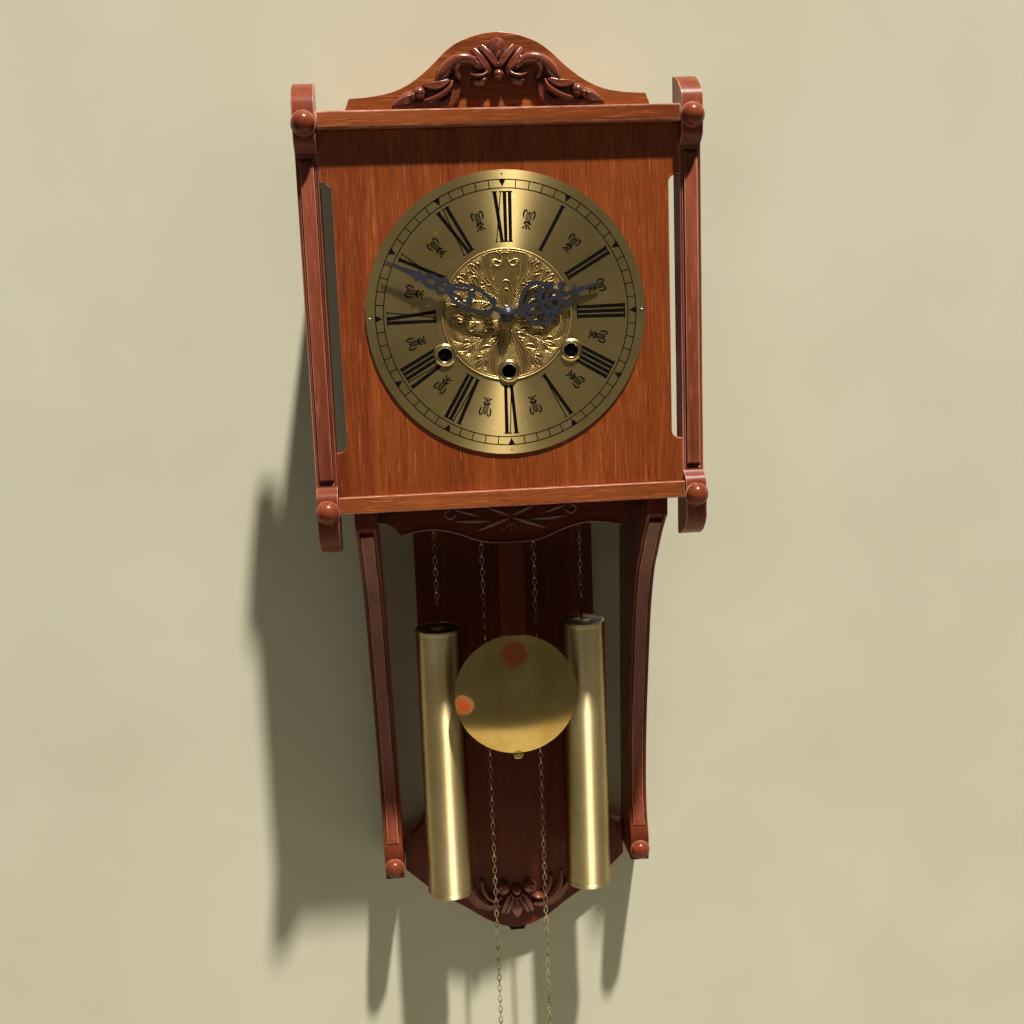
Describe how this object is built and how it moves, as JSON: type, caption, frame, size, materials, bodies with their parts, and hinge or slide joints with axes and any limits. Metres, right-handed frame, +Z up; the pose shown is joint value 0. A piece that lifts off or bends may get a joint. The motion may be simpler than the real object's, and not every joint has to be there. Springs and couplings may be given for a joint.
{
  "type": "chime clock",
  "caption": "Wall-hung chime clock with a round brass dial, carved hood and open trunk, driven by brass weights on chains and a disc pendulum, with a geared going train.",
  "frame": {"origin": "on the wall face, straight behind the hands' arbor", "axes": "+X right as seen from the front, +Y into the wall, +Z up"},
  "size_m": [0.3148, 0.1579, 0.879],
  "materials": {
    "mahogany": "satin-varnished reddish brown wood",
    "dark_mahogany": "satin-varnished dark reddish brown wood",
    "red_mahogany": "polished carved and turned red-brown wood",
    "satin_brass": "lacquered satin brass",
    "gilt_brass": "embossed and gilt brass",
    "polished_brass": "polished brass",
    "plate_brass": "plain rolled brass",
    "blued_steel": "blued, nearly black",
    "steel": "bright drawn steel",
    "iron": "as cast",
    "black_stop": "matt black"
  },
  "bodies": {
    "case": {"top_board": "mahogany", "dial_panel": "mahogany", "base_shelf": "mahogany", "crest_board": "mahogany", "left_post_strip": "mahogany", "right_post_strip": "mahogany", "backboard": "dark_mahogany", "left_hood_side": "dark_mahogany", "right_hood_side": "dark_mahogany", "left_rail": "dark_mahogany", "right_rail": "dark_mahogany", "apron": "dark_mahogany", "seat_board": "dark_mahogany", "crest_carving": "red_mahogany", "foot_carving": "red_mahogany", "left_post": "red_mahogany", "right_post": "red_mahogany", "upper_left_knob": "red_mahogany", "upper_right_knob": "red_mahogany", "lower_left_knob": "red_mahogany", "lower_right_knob": "red_mahogany", "left_rail_knob": "red_mahogany", "right_rail_knob": "red_mahogany", "left_rail_strip": "red_mahogany", "right_rail_strip": "red_mahogany", "dial_plate": "satin_brass", "dial_centre": "gilt_brass", "left_collar": "polished_brass", "right_collar": "polished_brass", "lower_collar": "polished_brass", "left_chain": "polished_brass", "right_chain": "polished_brass", "left_tail": "polished_brass", "right_tail": "polished_brass", "front_plate": "plate_brass", "back_plate": "plate_brass", "gong_coil": "steel", "gong_block": "iron", "wall_stop": "black_stop"},
    "minute_body": {"minute_hand": "blued_steel", "hand_nut": "blued_steel", "minute_arbor": "steel"},
    "hour_body": {"hour_hand": "blued_steel", "hour_wheel": "plate_brass"},
    "minute_wheel_body": {"minute_wheel": "plate_brass"},
    "great_wheel_body": {"time_great_wheel": "plate_brass"},
    "third_wheel_body": {"third_wheel": "plate_brass"},
    "escape_wheel_body": {"escape_wheel": "plate_brass"},
    "anchor_body": {"anchor": "steel"},
    "pendulum_body": {"suspension_spring": "steel", "pendulum_rod": "red_mahogany", "pendulum_bob": "polished_brass", "rating_nut": "polished_brass"},
    "left_weight_body": {"left_weight": "satin_brass", "left_hook": "steel"},
    "right_weight_body": {"right_weight": "satin_brass", "right_hook": "steel"},
    "time_sprocket_body": {"time_sprocket": "plate_brass"},
    "strike_sprocket_body": {"strike_sprocket": "plate_brass"},
    "hammer_body": {"hammer": "steel"}
  },
  "joints": [
    {"name": "minute_hand_turn", "type": "hinge", "parent": "case", "child": "minute_body", "pos_m": [0, -0.1471, 0], "axis": [0, 1, 0], "continuous": true},
    {"name": "hour_hand_turn", "type": "hinge", "parent": "case", "child": "hour_body", "pos_m": [0, -0.1436, 0], "axis": [0, 1, 0], "continuous": true},
    {"name": "minute_wheel_turn", "type": "hinge", "parent": "case", "child": "minute_wheel_body", "pos_m": [0.01527, -0.088, 0.01527], "axis": [0, 1, 0], "continuous": true},
    {"name": "great_wheel_turn", "type": "hinge", "parent": "case", "child": "great_wheel_body", "pos_m": [-0.0435, -0.0445, -0.01471], "axis": [0, 1, 0], "continuous": true},
    {"name": "third_wheel_turn", "type": "hinge", "parent": "case", "child": "third_wheel_body", "pos_m": [0.01368, -0.075, -0.03759], "axis": [0, 1, 0], "continuous": true},
    {"name": "escape_wheel_turn", "type": "hinge", "parent": "case", "child": "escape_wheel_body", "pos_m": [0, -0.0854, -0.07], "axis": [0, 1, 0], "continuous": true},
    {"name": "pendulum_swing", "type": "hinge", "parent": "case", "child": "pendulum_body", "pos_m": [0, -0.092, -0.046], "axis": [0, 1, 0], "range_deg": [-3, 3]},
    {"name": "anchor_rock", "type": "hinge", "parent": "case", "child": "anchor_body", "pos_m": [0, -0.0858, -0.046], "axis": [0, 1, 0], "range_deg": [-3, 3]},
    {"name": "left_weight_travel", "type": "slide", "parent": "case", "child": "left_weight_body", "axis": [0, 0, 1], "range_m": [0, 0.1], "deforming": ["left_chain"]},
    {"name": "right_weight_travel", "type": "slide", "parent": "case", "child": "right_weight_body", "axis": [0, 0, 1], "range_m": [0, 0.1], "deforming": ["right_chain"]},
    {"name": "time_sprocket_turn", "type": "hinge", "parent": "case", "child": "time_sprocket_body", "pos_m": [-0.0435, -0.06, -0.01471], "axis": [0, 1, 0], "range_deg": [0, 280]},
    {"name": "strike_sprocket_turn", "type": "hinge", "parent": "case", "child": "strike_sprocket_body", "pos_m": [0.0435, -0.06, -0.01471], "axis": [0, 1, 0], "range_deg": [-280, 0]},
    {"name": "hammer_lift", "type": "hinge", "parent": "case", "child": "hammer_body", "pos_m": [0.07, -0.025, -0.06], "axis": [0, 1, 0], "range_deg": [0, 20]}
  ],
  "couplings": [
    {"joint": "hour_hand_turn", "follows": "minute_hand_turn", "ratio": 0.083333},
    {"joint": "minute_wheel_turn", "follows": "minute_hand_turn", "ratio": -0.33333},
    {"joint": "great_wheel_turn", "follows": "minute_hand_turn", "ratio": -0.16667},
    {"joint": "third_wheel_turn", "follows": "minute_hand_turn", "ratio": -9},
    {"joint": "escape_wheel_turn", "follows": "minute_hand_turn", "ratio": 90},
    {"joint": "anchor_rock", "follows": "pendulum_swing", "ratio": 1},
    {"joint": "time_sprocket_turn", "follows": "left_weight_travel", "rad_per_m": 48.78},
    {"joint": "strike_sprocket_turn", "follows": "right_weight_travel", "rad_per_m": -48.78}
  ]
}
